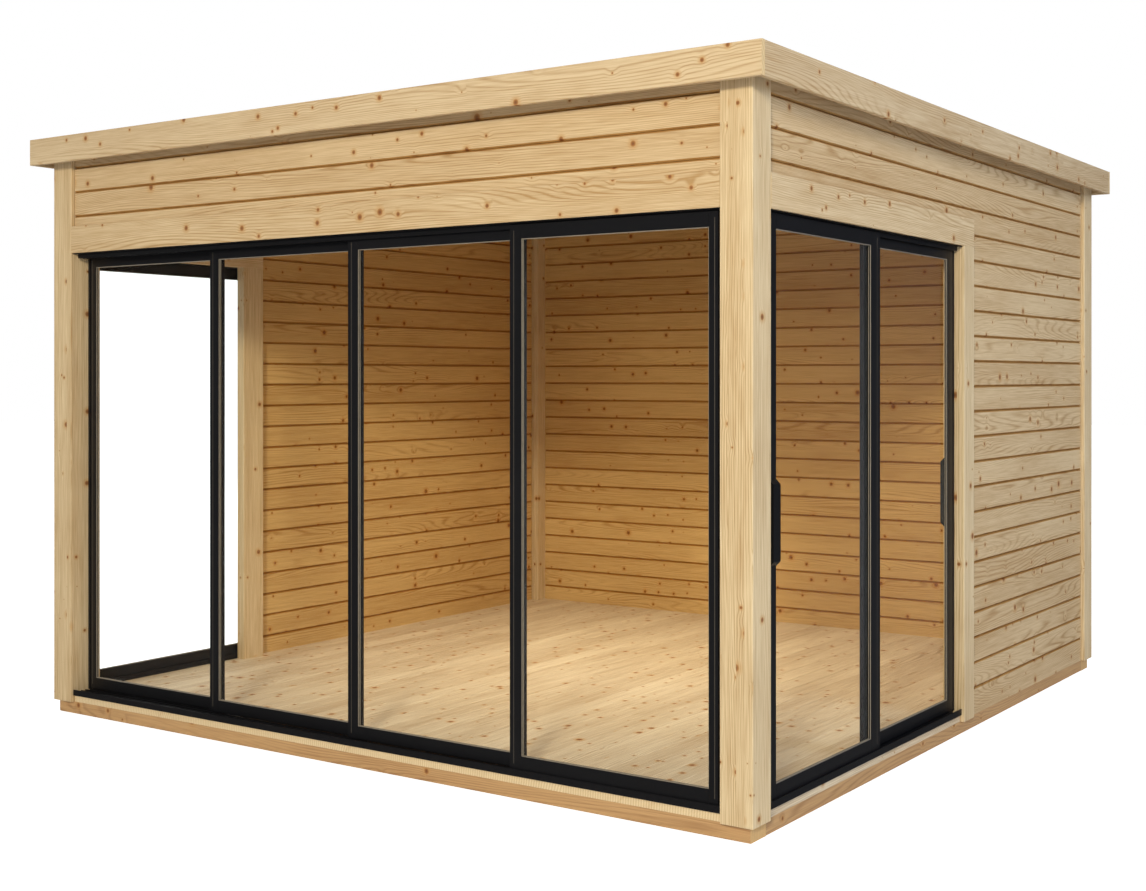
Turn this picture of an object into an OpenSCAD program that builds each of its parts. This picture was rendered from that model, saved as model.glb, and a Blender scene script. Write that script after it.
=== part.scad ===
// Flat-roofed garden house: posts on a base frame, board walls, black-framed sliding
// glass walls on the front and on the right side, and a fixed window on the left side.
// Millimetres, +Z up, origin on the ground at the middle of the plan, front at -Y.

/* [Plan and heights] */
// Width over the outer faces of the corner posts
house_w = 3500; // [3000:10:4200]
// Depth over the outer faces of the corner posts
house_d = 3500; // [3100:10:4200]
// Height of the door openings, floor to lintel
opening_h = 1922; // [1700:1:2300]
// Height of the boards between a lintel and the roof boards
upper_h = 348; // [200:1:600]
// Length of the door opening in the right side
side_opening = 1652; // [1400:1:1800]
// Length of the window opening in the left side
window_opening = 932; // [700:1:1200]

/* [Timber] */
// Side of a square corner post
post = 120; // [110:1:140]
// Depth across the wall of the jamb posts, the back posts and the side lintels
side_post_d = 93; // [86:1:110]
// Width of the jamb post behind the side door
jamb_post_w = 112; // [90:1:140]
// Width of the window's jamb post behind its rebate
window_jamb_w = 76; // [60:1:110]
// How far timber covers the upright edges of the window frame inside
window_cover = 50; // [45:1:60]
// Height of a lintel beam
lintel_h = 116; // [100:1:130]
// Thickness of the board walls
wall_t = 28; // [20:1:60]
// Setback of boards, floor edge and base from the post faces
setback = 18; // [5:1:25]
// Height of the base frame
base_h = 52; // [45:1:70]
// Width of a base frame beam
base_w = 100; // [90:1:110]
// Width of a floor joist
joist_w = 45; // [35:1:60]
// Number of floor joists
floor_joists_n = 6; // [3:1:9]
// Thickness of the floor boards
floor_t = 28; // [20:1:35]

/* [Roof] */
// Overhang of the roof edge beyond the posts
overhang = 70; // [40:1:120]
// Height of the fascia boards
fascia_h = 112; // [90:1:140]
// Thickness of the fascia boards
fascia_t = 20; // [16:1:28]
// Thickness of the roof boards
deck_t = 20; // [16:1:28]
// Thickness of the roof felt
felt_t = 4; // [3:1:8]
// Height of the fascia above the felt
felt_drop = 10; // [5:1:20]
// Height of a roof joist
roof_joist_h = 95; // [80:1:130]
// Number of roof joists
roof_joists_n = 6; // [3:1:9]

/* [Sliding panels] */
// Setback of the outermost panel from the post faces
panel_setback = 20; // [18:1:25]
// Spacing of the tracks
track_pitch = 22.5; // [21:0.5:25]
// Gap between two panels that pass each other
pass_gap = 5.5; // [5:0.5:7]
// Gap between a closed panel and its jamb profile
end_gap = 5; // [5:0.5:10]
// Height of the bottom rail
bottom_rail = 48; // [35:1:60]
// Height of the top rail
top_rail = 49; // [40:1:60]
// Width of the outer stiles of the front panels
front_stile = 35; // [28:1:50]
// Width of the interlocking stiles of the front panels
front_lock_stile = 50; // [35:1:60]
// Overlap of two closed front panels
front_overlap = 46; // [35:1:60]
// Width of the outer stiles of the side panels
side_stile = 54; // [54:1:80]
// Width of the interlocking stiles of the side panels
side_lock_stile = 74; // [50:1:85]
// Overlap of two closed side panels
side_overlap = 96; // [60:1:110]
// Thickness of the glass
glass_t = 6; // [4:1:8]
// Depth of the glass in its groove
glass_seat = 10; // [6:1:14]

/* [Left window] */
// Width of the upright edges of the window frame
window_stile = 25; // [22:1:35]

/* [Tracks] */
// Wall of the aluminium profiles
profile_t = 4; // [3:0.5:5]
// Height of the lips of the sill track
sill_lip = 24; // [20:1:30]
// Height of the running rails above the sill plate
rail_h = 12; // [8:1:14]
// Depth of the guide fins of the head track below the lintel
guide_h = 22; // [15:1:26]
// Thickness of a guide fin
guide_t = 3; // [2:0.5:4]
// Width of a jamb profile
jamb_profile_w = 12; // [10:1:20]
// Radius of a panel wheel
wheel_r = 9; // [8:1:12]

/* [Handles] */
// Length of a pull handle
handle_len = 284; // [200:1:400]
// Width of a pull handle
handle_w = 48; // [30:1:50]
// Projection of a pull handle from its stile
handle_d = 18; // [10:1:20]
// Height of the middle of a handle above the ground
handle_z = 995; // [850:5:1150]

/* [Hidden] */
$fn = 32;

front_tracks_n = 4;
side_tracks_n = 2;
hw = house_w / 2;
hd = house_d / 2;
floor_z = base_h + floor_t;
lintel_z = floor_z + opening_h;
lintel_top = lintel_z + lintel_h;
deck_z = lintel_top + upper_h;
house_h = deck_z + deck_t + felt_t + felt_drop;
side_end = -hd + post + side_opening;
window_end = -hd + post + window_opening;
wall_depth = setback + wall_t;
panel_t = track_pitch - pass_gap;
running_gap = 0.3;
glass_gap = 0.3;
wheel_w = 6;
wheel_inset = 90;
packer_l = 60;
rail_w = 4;
clear = 5;
jamb_groove = 6;

rail_z = floor_z + profile_t + rail_h;
panel_z = rail_z + clear;
panel_top = lintel_z - profile_t - clear;
guide_bottom = lintel_z - guide_h;
wheel_z = rail_z + running_gap + wheel_r;
lip_x = panel_setback - clear - profile_t;

front_span = house_w - 2 * post;
function panel_w(span, n, overlap) =
    (span - 2 * (jamb_profile_w + end_gap) + (n - 1) * overlap) / n;
front_panel_w = panel_w(front_span, front_tracks_n, front_overlap);
side_panel_w = panel_w(side_opening, side_tracks_n, side_overlap);
function track_depth(n) = n * track_pitch - pass_gap + 2 * (clear + profile_t);

// A plain block between two corners
module block(a, b) translate(a) cube([for (i = [0:2]) b[i] - a[i]]);

// Each sliding wall is drawn in its own frame: X runs along the opening from its
// start, Y runs inwards from the outer post face, and Z is the height.
module on_front() translate([-hw + post, -hd, 0]) children();
module on_right() translate([hw, -hd + post, 0]) rotate([0, 0, 90]) children();
module on_left() mirror([1, 0, 0]) on_right() children();

// A block against one side wall: depths are measured inwards from its outer post face
module at_side(sx, d0, d1, y0, y1, z0, z1)
    translate([sx > 0 ? hw - d1 : -hw + d0, y0, z0]) cube([d1 - d0, y1 - y0, z1 - z0]);

// Ground frame: four beams joined at the corners, set back from the post faces
module base_frame() color("peru")
    difference() {
        block([-hw + setback, -hd + setback, 0], [hw - setback, hd - setback, base_h]);
        block([-hw + setback + base_w, -hd + setback + base_w, -1],
            [hw - setback - base_w, hd - setback - base_w, base_h + 1]);
    }

module floor_joists() color("burlywood")
    for (i = [1:floor_joists_n]) {
        inner = hd - setback - base_w;
        y = -inner + i * 2 * inner / (floor_joists_n + 1);
        block([-hw + setback + base_w, y - joist_w / 2, 0], [hw - setback - base_w, y + joist_w / 2, base_h]);
    }

// The floor runs out to the base face under the doors and the window, and is cut round
// the posts
module floor_deck() color("wheat")
    difference() {
        union() {
            block([-hw + wall_depth, -hd + setback, base_h], [hw - wall_depth, hd - wall_depth, floor_z]);
            at_side(1, setback, wall_depth, -hd + post, side_end, base_h, floor_z);
            at_side(-1, setback, wall_depth, -hd + post, window_end, base_h, floor_z);
        }
        for (sx = [-1, 1]) {
            at_side(sx, -1, post, -hd - 1, -hd + post, base_h - 1, floor_z + 1);
            at_side(sx, -1, side_post_d, hd - post, hd + 1, base_h - 1, floor_z + 1);
        }
        at_side(1, -1, side_post_d, side_end, side_end + jamb_post_w, base_h - 1, floor_z + 1);
        at_side(-1, -1, side_post_d, window_end - window_cover, window_end + window_jamb_w,
            base_h - 1, floor_z + 1);
    }

module front_post(sx) color("navajowhite")
    at_side(sx, 0, post, -hd, -hd + post, base_h, deck_z);

module back_post(sx) color("navajowhite")
    at_side(sx, 0, side_post_d, hd - post, hd, base_h, deck_z);

module right_jamb_post() color("navajowhite")
    at_side(1, 0, side_post_d, side_end, side_end + jamb_post_w, base_h, lintel_z);

// Rebated outside, so that the window's stile stands behind its inner leaf
module left_jamb_post() color("navajowhite")
    difference() {
        at_side(-1, 0, side_post_d, window_end - window_cover, window_end + window_jamb_w, base_h, lintel_z);
        at_side(-1, -1, wall_depth, window_end - window_cover - 1, window_end, base_h - 1, lintel_z + 1);
    }

// Upright batten on the corner post, which covers the window's other stile inside
module left_cover_batten() color("navajowhite")
    at_side(-1, wall_depth, side_post_d, -hd + post, -hd + post + window_cover, floor_z, lintel_z);

module front_lintel() color("navajowhite")
    block([-hw + post, -hd, lintel_z], [hw - post, -hd + post, lintel_top]);

module side_lintel(sx, end) color("navajowhite")
    at_side(sx, 0, side_post_d, -hd + post, end, lintel_z, lintel_top);

module front_upper_wall() color("burlywood")
    block([-hw + post, -hd + setback, lintel_top], [hw - post, -hd + wall_depth, deck_z]);

module side_upper_wall(sx) color("burlywood")
    at_side(sx, setback, wall_depth, -hd + post, hd - post, lintel_top, deck_z);

module side_wall(sx, start) color("burlywood")
    at_side(sx, setback, wall_depth, start, hd - post, base_h, lintel_top);

module back_wall() color("burlywood")
    block([-hw + side_post_d, hd - wall_depth, base_h], [hw - side_post_d, hd - setback, deck_z]);

module roof_joists() color("burlywood")
    for (i = [1:roof_joists_n]) {
        inner = hd - wall_depth;
        y = -inner + i * 2 * inner / (roof_joists_n + 1);
        block([-hw + wall_depth, y - joist_w / 2, deck_z - roof_joist_h],
            [hw - wall_depth, y + joist_w / 2, deck_z]);
    }

roof_x = hw + overhang - fascia_t;
roof_y = hd + overhang - fascia_t;

module roof_deck() color("burlywood")
    block([-roof_x, -roof_y, deck_z], [roof_x, roof_y, deck_z + deck_t]);

module roof_felt() color("dimgray")
    block([-roof_x, -roof_y, deck_z + deck_t], [roof_x, roof_y, deck_z + deck_t + felt_t]);

// Front and back fascia boards run past the side ones, as the near corner shows
module fascia_front_back() color("wheat")
    for (sy = [-1, 1])
        translate([-roof_x - fascia_t, sy * (roof_y + fascia_t / 2) - fascia_t / 2, house_h - fascia_h])
            cube([2 * (roof_x + fascia_t), fascia_t, fascia_h]);

module fascia_sides() color("wheat")
    for (sx = [-1, 1])
        translate([sx * (roof_x + fascia_t / 2) - fascia_t / 2, -roof_y, house_h - fascia_h])
            cube([fascia_t, 2 * roof_y, fascia_h]);

// Sill track: a plate with an outer lip on each side and one running rail a track
module sill_profile(n) {
    depth = track_depth(n);
    translate([lip_x, 0]) square([depth, profile_t]);
    for (x = [lip_x, lip_x + depth - profile_t])
        translate([x, 0]) square([profile_t, sill_lip]);
    for (k = [0:n - 1])
        translate([panel_setback + k * track_pitch + panel_t / 2 - rail_w / 2, 0])
            square([rail_w, profile_t + rail_h]);
}

// Head track: a plate under the lintel with one guide fin a track, which runs in
// the groove of that panel's top rail and stops short of the jamb profiles
module head_track(n, span) {
    translate([0, lip_x, lintel_z - profile_t]) cube([span, track_depth(n), profile_t]);
    for (k = [0:n - 1])
        translate([jamb_profile_w, panel_setback + k * track_pitch + panel_t / 2 - guide_t / 2, guide_bottom])
            cube([span - 2 * jamb_profile_w, guide_t, guide_h - profile_t]);
}

// Sill and head of one sliding wall
module tracks(n, span) color("#26282b") {
    translate([0, 0, floor_z]) rotate([90, 0, 90]) linear_extrude(span) sill_profile(n);
    head_track(n, span);
}

// Upright profile on a post, grooved for the brush that meets a closed panel
module jamb_profile(track) color("#26282b")
    translate([0, panel_setback + track * track_pitch, rail_z])
        difference() {
            cube([jamb_profile_w, panel_t, lintel_z - profile_t - rail_z]);
            translate([jamb_profile_w - jamb_groove, panel_t / 2 - jamb_groove / 2, -1])
                cube([jamb_groove + 1, jamb_groove, opening_h]);
        }

module jamb_profiles(span, first_track, last_track) {
    jamb_profile(first_track);
    translate([span, 0, 0]) mirror([1, 0, 0]) jamb_profile(last_track);
}

function panel_x(i, w, overlap) = jamb_profile_w + end_gap + i * (w - overlap);

// Rails and stiles grooved for the glass, with a guide groove along the top
module rails_and_stiles(x, track, w, left_stile, right_stile) {
    h = panel_top - panel_z;
    glass_y = panel_t / 2 - glass_t / 2 - glass_gap;
    groove_t = glass_t + 2 * glass_gap;
    translate([x, panel_setback + track * track_pitch, panel_z])
        difference() {
            cube([w, panel_t, h]);
            block([left_stile, -1, bottom_rail], [w - right_stile, panel_t + 1, h - top_rail]);
            block([left_stile - glass_seat - glass_gap, glass_y, bottom_rail - glass_seat - glass_gap],
                [w - right_stile + glass_seat + glass_gap, glass_y + groove_t, h - top_rail + glass_seat + glass_gap]);
            block([-1, panel_t / 2 - guide_t / 2 - clear, guide_bottom - clear - panel_z],
                [w + 1, panel_t / 2 + guide_t / 2 + clear, h + 1]);
        }
}

// Panel frame with two wheels below on the running rail
module panel_frame(x, track, w, left_stile, right_stile) {
    rails_and_stiles(x, track, w, left_stile, right_stile);
    for (wx = [wheel_inset, w - wheel_inset])
        translate([x + wx, panel_setback + track * track_pitch + panel_t / 2, wheel_z]) rotate([90, 0, 0])
            cylinder(r = wheel_r, h = wheel_w, center = true);
}

module panel_glass(x, track, w, left_stile, right_stile) color("lightsteelblue", 0.4) {
    h = panel_top - panel_z;
    translate([x, panel_setback + track * track_pitch + panel_t / 2 - glass_t / 2, panel_z])
        block([left_stile - glass_seat, 0, bottom_rail - glass_seat],
            [w - right_stile + glass_seat, glass_t, h - top_rail + glass_seat]);
}

// Fixed window: a frame of the same make on two packers, from post to jamb post
module left_window_frame() color("#26282b") {
    rails_and_stiles(0, 0, window_opening, window_stile, window_stile);
    for (px = [wheel_inset, window_opening - wheel_inset])
        translate([px - packer_l / 2, panel_setback, rail_z]) cube([packer_l, panel_t, clear]);
}
module left_window_glass()
    panel_glass(0, 0, window_opening, window_stile, window_stile);

// Pull handle: a long bar with sloped ends, in the plane across its stile
module pull_handle() color("#1d1f21")
    rotate([90, 0, 90]) translate([0, 0, -handle_w / 2]) linear_extrude(handle_w)
        polygon([[0, -handle_len / 2], [-handle_d, -handle_len / 2 + handle_d],
            [-handle_d, handle_len / 2 - handle_d], [0, handle_len / 2]]);

// The front panels step outwards from the left: panel 1 is on the innermost track
module front_panel_frame(k) color("#26282b")
    on_front() panel_frame(panel_x(k - 1, front_panel_w, front_overlap), front_tracks_n - k, front_panel_w,
        k == 1 ? front_stile : front_lock_stile, k == front_tracks_n ? front_stile : front_lock_stile);
module front_panel_glass(k)
    on_front() panel_glass(panel_x(k - 1, front_panel_w, front_overlap), front_tracks_n - k, front_panel_w,
        k == 1 ? front_stile : front_lock_stile, k == front_tracks_n ? front_stile : front_lock_stile);

// The right side has its near panel on the outer track and its far panel on the inner one;
// the handle of the near panel stands outwards and that of the far panel inwards
module side_panel_frame(k) color("#26282b") {
    x = panel_x(k - 1, side_panel_w, side_overlap);
    panel_frame(x, k - 1, side_panel_w, k == 1 ? side_stile : side_lock_stile, k == 1 ? side_lock_stile : side_stile);
    handle_x = side_stile / 2;
    if (k == 1) translate([x + handle_x, panel_setback, handle_z]) pull_handle();
    else translate([x + side_panel_w - handle_x, panel_setback + (k - 1) * track_pitch + panel_t, handle_z])
        mirror([0, 1, 0]) pull_handle();
}
module side_panel_glass(k)
    panel_glass(panel_x(k - 1, side_panel_w, side_overlap), k - 1, side_panel_w,
        k == 1 ? side_stile : side_lock_stile, k == 1 ? side_lock_stile : side_stile);

base_frame();
floor_joists();
floor_deck();
front_post(-1);  // front_left_post
front_post(1);  // front_right_post
back_post(-1);  // back_left_post
back_post(1);  // back_right_post
left_jamb_post();
right_jamb_post();
left_cover_batten();
front_lintel();
side_lintel(-1, window_end + window_jamb_w);  // left_lintel
side_lintel(1, side_end + jamb_post_w);  // right_lintel
front_upper_wall();
side_upper_wall(-1);  // left_upper_wall
side_upper_wall(1);  // right_upper_wall
side_wall(-1, window_end + window_jamb_w);  // left_wall
side_wall(1, side_end + jamb_post_w);  // right_wall
back_wall();
roof_joists();
roof_deck();
roof_felt();
fascia_front_back();
fascia_sides();
on_front() tracks(front_tracks_n, front_span);  // front_tracks
on_front() jamb_profiles(front_span, front_tracks_n - 1, 0);  // front_jamb_profiles
on_left() tracks(1, window_opening);  // left_tracks
on_right() tracks(side_tracks_n, side_opening);  // right_tracks
on_right() jamb_profiles(side_opening, 0, 1);  // right_jamb_profiles
front_panel_frame(1);  // front_panel_1_frame
front_panel_glass(1);  // front_panel_1_glass
front_panel_frame(2);  // front_panel_2_frame
front_panel_glass(2);  // front_panel_2_glass
front_panel_frame(3);  // front_panel_3_frame
front_panel_glass(3);  // front_panel_3_glass
front_panel_frame(4);  // front_panel_4_frame
front_panel_glass(4);  // front_panel_4_glass
on_left() left_window_frame();
on_left() left_window_glass();
on_right() side_panel_frame(1);  // right_panel_1_frame
on_right() side_panel_glass(1);  // right_panel_1_glass
on_right() side_panel_frame(2);  // right_panel_2_frame
on_right() side_panel_glass(2);  // right_panel_2_glass
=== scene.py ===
import math
import random

import bmesh
import bpy
from mathutils import Matrix, Vector


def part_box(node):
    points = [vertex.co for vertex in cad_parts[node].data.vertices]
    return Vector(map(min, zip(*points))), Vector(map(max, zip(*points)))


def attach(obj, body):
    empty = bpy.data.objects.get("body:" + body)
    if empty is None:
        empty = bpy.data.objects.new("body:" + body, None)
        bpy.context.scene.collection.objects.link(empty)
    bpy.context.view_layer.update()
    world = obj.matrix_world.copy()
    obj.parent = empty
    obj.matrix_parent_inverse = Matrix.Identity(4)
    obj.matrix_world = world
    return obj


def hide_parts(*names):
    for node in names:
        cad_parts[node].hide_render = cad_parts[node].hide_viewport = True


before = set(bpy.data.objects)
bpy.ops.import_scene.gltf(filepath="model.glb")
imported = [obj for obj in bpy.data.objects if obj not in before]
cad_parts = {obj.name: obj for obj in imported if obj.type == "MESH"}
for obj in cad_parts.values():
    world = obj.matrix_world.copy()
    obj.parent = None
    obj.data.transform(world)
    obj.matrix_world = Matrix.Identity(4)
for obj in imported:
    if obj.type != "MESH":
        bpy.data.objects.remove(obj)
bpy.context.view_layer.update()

# The view. The camera stands off the near right corner at eye height, held level,
# so that uprights stay upright; the lens shift only centres the house in the frame.
photo_w, photo_h = 1146, 891
focal_px = 1518.9
centre_px = (639.4, 376.8)
eye = Vector((4.062, -5.898, 1.465))
heading = math.radians(33.404)

lens = bpy.data.cameras.new("house_camera")
lens.sensor_width = 36.0
lens.lens = focal_px * lens.sensor_width / photo_w
lens.shift_x = (photo_w / 2 - centre_px[0]) / photo_w
lens.shift_y = (centre_px[1] - photo_h / 2) / photo_w
camera = bpy.data.objects.new("house_camera", lens)
camera.location = eye
camera.rotation_euler = (math.pi / 2, 0, heading)
bpy.context.scene.collection.objects.link(camera)
bpy.context.scene.camera = camera
bpy.context.scene.view_settings.view_transform = "Standard"

# The studio. A pale room lights the house evenly and reads as white behind it; reflections
# see a dimmer room, so that the panes and the black frames stay dark.
room_light = 0.44
seen_white = 1.0
glass_white = 1.25
mirrored_light = 0.08
room_cool = (0.93, 0.97, 1.06, 1)
plain_white = (1, 1, 1, 1)


def add(tree, kind, inputs=None, **settings):
    """One node of a tree. Each input is given a plain value or is linked to a socket."""
    node = tree.nodes.new(kind)
    for name, value in settings.items():
        setattr(node, name, value)
    for name, value in (inputs or {}).items():
        socket = node.inputs[name]
        if isinstance(value, bpy.types.NodeSocket):
            tree.links.new(value, socket)
        else:
            socket.default_value = value
    return node


def calc(tree, operation, *values, clamp=False):
    """The result of one Math node."""
    node = add(tree, "ShaderNodeMath", dict(enumerate(values)), operation=operation, use_clamp=clamp)
    return node.outputs[0]


def mix(tree, factor, a, b, way="MIX"):
    """The colour of one Mix node, which goes from a to b with the factor."""
    node = add(tree, "ShaderNodeMix", {0: factor, 6: a, 7: b}, data_type="RGBA", blend_type=way)
    return node.outputs[2]


def light_paths(tree):
    """Masks of the rays that come from the camera, have gone through glass, or are mirrored."""
    ray = add(tree, "ShaderNodeLightPath")
    through = ray.outputs["Is Transmission Ray"]
    mirrored = calc(tree, "MULTIPLY", ray.outputs["Is Glossy Ray"], calc(tree, "SUBTRACT", 1.0, through))
    return ray.outputs["Is Camera Ray"], through, mirrored


world = bpy.data.worlds.new("studio")
world.use_nodes = True
bpy.context.scene.world = world
sky = world.node_tree
sky.nodes.clear()
seen, through, mirrored = light_paths(sky)
level = room_light
for mask, wanted in ((seen, seen_white), (through, glass_white), (mirrored, mirrored_light)):
    level = calc(sky, "MULTIPLY_ADD", mask, wanted - room_light, level)
tone = mix(sky, calc(sky, "MAXIMUM", seen, through), room_cool, plain_white)
room = add(sky, "ShaderNodeBackground", {"Color": tone, "Strength": level})
sky.links.new(room.outputs[0], add(sky, "ShaderNodeOutputWorld").inputs["Surface"])


def soft_lamp(name, place, aim, size, power, colour, spread=math.pi):
    """A square soft box that points from its place at a spot on the house."""
    lamp = bpy.data.lights.new(name, "AREA")
    lamp.size = size
    lamp.energy = power
    lamp.color = colour
    lamp.spread = spread
    holder = bpy.data.objects.new(name, lamp)
    holder.location = place
    holder.rotation_euler = (Vector(aim) - Vector(place)).to_track_quat("-Z", "Y").to_euler()
    holder.visible_camera = holder.visible_glossy = holder.visible_transmission = False
    bpy.context.scene.collection.objects.link(holder)


soft_lamp("key_lamp", (5.4, -11.2, 5.0), (0, 0, 1.0), 1.4, 815, (1.0, 0.925, 0.775))
soft_lamp("side_lamp", (9.0, -1.0, 4.6), (1.7, -0.5, 1.2), 3.0, 175, (0.80, 0.96, 1.28))
soft_lamp("back_lamp", (-9.0, 9.5, 6.5), (0, 0, 1.0), 4.0, 560, (1.0, 0.96, 0.88))
soft_lamp("inside_lamp", (0, 0.1, 2.34), (0, 0.1, 0), 2.6, 26, (1.0, 0.86, 0.64), math.radians(95))

# The studio floor. A matt sheet takes the shadow of the house, and its own glow lifts it to
# white for the camera and behind the glass; what the panes mirror of it stays dim.
floor_size = 80
floor_drop = 0.001
floor_glow = 0.72
glass_glow = 0.95
floor_pale = 0.85
floor_mirrored = 0.20
pale = bpy.data.materials.new("pale_floor")
pale.use_nodes = True
tree = pale.node_tree
tree.nodes.clear()
seen, through, mirrored = light_paths(tree)
glow_level = calc(tree, "MULTIPLY_ADD", through, glass_glow, calc(tree, "MULTIPLY", seen, floor_glow))
dim = calc(tree, "MULTIPLY_ADD", mirrored, floor_mirrored - floor_pale, floor_pale)
grey = add(tree, "ShaderNodeCombineColor", {0: dim, 1: dim, 2: dim})
matt = add(tree, "ShaderNodeBsdfDiffuse", {"Color": grey.outputs[0]})
glow = add(tree, "ShaderNodeEmission", {"Color": plain_white, "Strength": glow_level})
both = add(tree, "ShaderNodeAddShader", {0: matt.outputs[0], 1: glow.outputs[0]})
tree.links.new(both.outputs[0], add(tree, "ShaderNodeOutputMaterial").inputs["Surface"])
bpy.ops.mesh.primitive_plane_add(size=floor_size, location=(0, 0, -floor_drop))
studio_floor = bpy.context.object
studio_floor.name = "studio_floor"
studio_floor.data.materials.append(pale)

# The ground frame and the floor joists. Planed spruce beams, a shade darker than the walls
# and eased on the long edges, lie flat on the ground. All the timber shares one grain.
board_tag = "board"
groove_tag = "groove"


def new_group(name, kind, inputs, outputs):
    """An empty node group with named sockets, and the sockets that bring its inputs."""
    tree = bpy.data.node_groups.new(name, kind)
    for way, sockets in (("INPUT", inputs), ("OUTPUT", outputs)):
        for label, what in sockets.items():
            tree.interface.new_socket(label, in_out=way, socket_type="NodeSocket" + what)
    return tree, add(tree, "NodeGroupInput").outputs


def spruce_grain():
    """The look of planed spruce: growth lines along X of the vector, small knots, end grain, and painted
    shade in the V grooves.
    """
    tree, given = new_group("spruce_grain", "ShaderNodeTree",
                            {"Grain": "Vector", "Facing": "Vector", "Board": "Float", "Groove": "Float",
                             "Pale": "Color", "Deep": "Color", "Knots": "Float", "Lines": "Float",
                             "Contrast": "Float", "Wander": "Float"},
                            {"Color": "Color", "Roughness": "Float", "Height": "Float"})
    board = given["Board"]
    knot_cells = 9.5
    knot_least, knot_spread = 0.0075, 0.0070
    knot_core = (0.22, 0.083, 0.030, 1)
    knot_rim = (0.42, 0.19, 0.058, 1)
    halo_brown = (0.55, 0.30, 0.105, 1)
    butt_yellow = (0.95, 0.68, 0.28, 1)
    painted_groove_shade = (0.68, 0.49, 0.25, 1)
    turn = 6.283
    arcs_per_metre = 620.0

    # Shifts that give each board its own stretch of the pattern and its own hue
    board_run, board_width, board_hue = 41.0, 13.0, 7.31

    def ramp(value, low, high):
        return add(tree, "ShaderNodeMapRange", {"Value": value, "From Min": low, "From Max": high},
                   interpolation_type="SMOOTHSTEP").outputs[0]

    # Flat coordinates on each face: run along the grain, width across it
    place = add(tree, "ShaderNodeSeparateXYZ", {0: given["Grain"]}).outputs
    run = calc(tree, "MULTIPLY_ADD", board, board_run, place[0])
    width = calc(tree, "MULTIPLY_ADD", board, board_width, calc(tree, "ADD", place[1], place[2]))

    def noise(along, across, detail):
        flat = add(tree, "ShaderNodeCombineXYZ", {0: calc(tree, "MULTIPLY", run, along),
                                                  1: calc(tree, "MULTIPLY", width, across)})
        return add(tree, "ShaderNodeTexNoise", {"Vector": flat.outputs[0], "Scale": 1.0, "Detail": detail},
                   noise_dimensions="2D").outputs[0]

    # Knots: about a hand's width apart at random, each with its own radius
    flat = add(tree, "ShaderNodeCombineXYZ", {0: run, 1: width})
    cell = add(tree, "ShaderNodeTexVoronoi", {"Vector": flat.outputs[0], "Scale": knot_cells},
               voronoi_dimensions="2D").outputs
    distance = calc(tree, "DIVIDE", cell["Distance"], knot_cells)
    dice = add(tree, "ShaderNodeSeparateColor", {0: cell["Color"]}).outputs
    odds = ramp(dice[0], calc(tree, "SUBTRACT", 1.0, given["Knots"]), 1.0)
    size = calc(tree, "MULTIPLY_ADD", calc(tree, "POWER", dice[1], 2.0), knot_spread, knot_least)
    radius = calc(tree, "MULTIPLY", odds, size)
    near = calc(tree, "DIVIDE", distance, calc(tree, "ADD", radius, 0.0002))
    present = ramp(radius, 0.0008, 0.0022)
    knot = calc(tree, "MULTIPLY", ramp(near, 1.15, 0.75), present)
    halo = calc(tree, "MULTIPLY", ramp(near, 2.6, 0.9), present)
    bulge = calc(tree, "MULTIPLY", ramp(distance, 0.040, 0.0), present)

    # Growth lines drift slowly along the board and bend round each knot
    drift = noise(0.42, 5.0, 1.0)
    wobble = noise(1.8, 22.0, 1.0)
    phase = calc(tree, "MULTIPLY", width, given["Lines"])
    strayed = calc(tree, "MULTIPLY_ADD", drift, calc(tree, "MULTIPLY", given["Lines"], 0.30),
                   calc(tree, "MULTIPLY", wobble, 0.7))
    phase = calc(tree, "ADD", phase, calc(tree, "MULTIPLY", strayed, given["Wander"]))
    phase = calc(tree, "ADD", phase, calc(tree, "MULTIPLY", bulge, 0.7))
    wave = calc(tree, "SINE", calc(tree, "MULTIPLY", phase, turn))
    ring = calc(tree, "POWER", calc(tree, "MULTIPLY_ADD", wave, 0.5, 0.5), 3.5)
    fade = ramp(noise(0.9, 9.0, 1.0), 0.30, 0.62)
    fibre = noise(7.0, 260.0, 2.0)
    streak = noise(1.6, 75.0, 2.0)
    cloud = noise(1.3, 5.0, 2.0)

    # Side grain: the lines, fine and broad streaks, and a tone for each board
    amount = calc(tree, "MULTIPLY", ring, calc(tree, "MULTIPLY_ADD", fade, 0.36, 0.16))
    for marks, share in ((fibre, 0.80), (streak, 0.50), (cloud, 0.45)):
        amount = calc(tree, "MULTIPLY_ADD", calc(tree, "SUBTRACT", marks, 0.5), share, amount)
    hue = calc(tree, "FRACT", calc(tree, "MULTIPLY", board, board_hue))
    amount = calc(tree, "ADD", amount, calc(tree, "MULTIPLY_ADD", hue, 0.22, 0.10))
    amount = calc(tree, "MULTIPLY", amount, given["Contrast"], clamp=True)
    wood = mix(tree, amount, given["Pale"], given["Deep"])
    wood = mix(tree, calc(tree, "MULTIPLY", halo, 0.55), wood, halo_brown)
    knot_tone = mix(tree, ramp(near, 0.2, 0.95), knot_core, knot_rim)
    wood = mix(tree, calc(tree, "MULTIPLY", knot, 0.95), wood, knot_tone)

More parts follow.
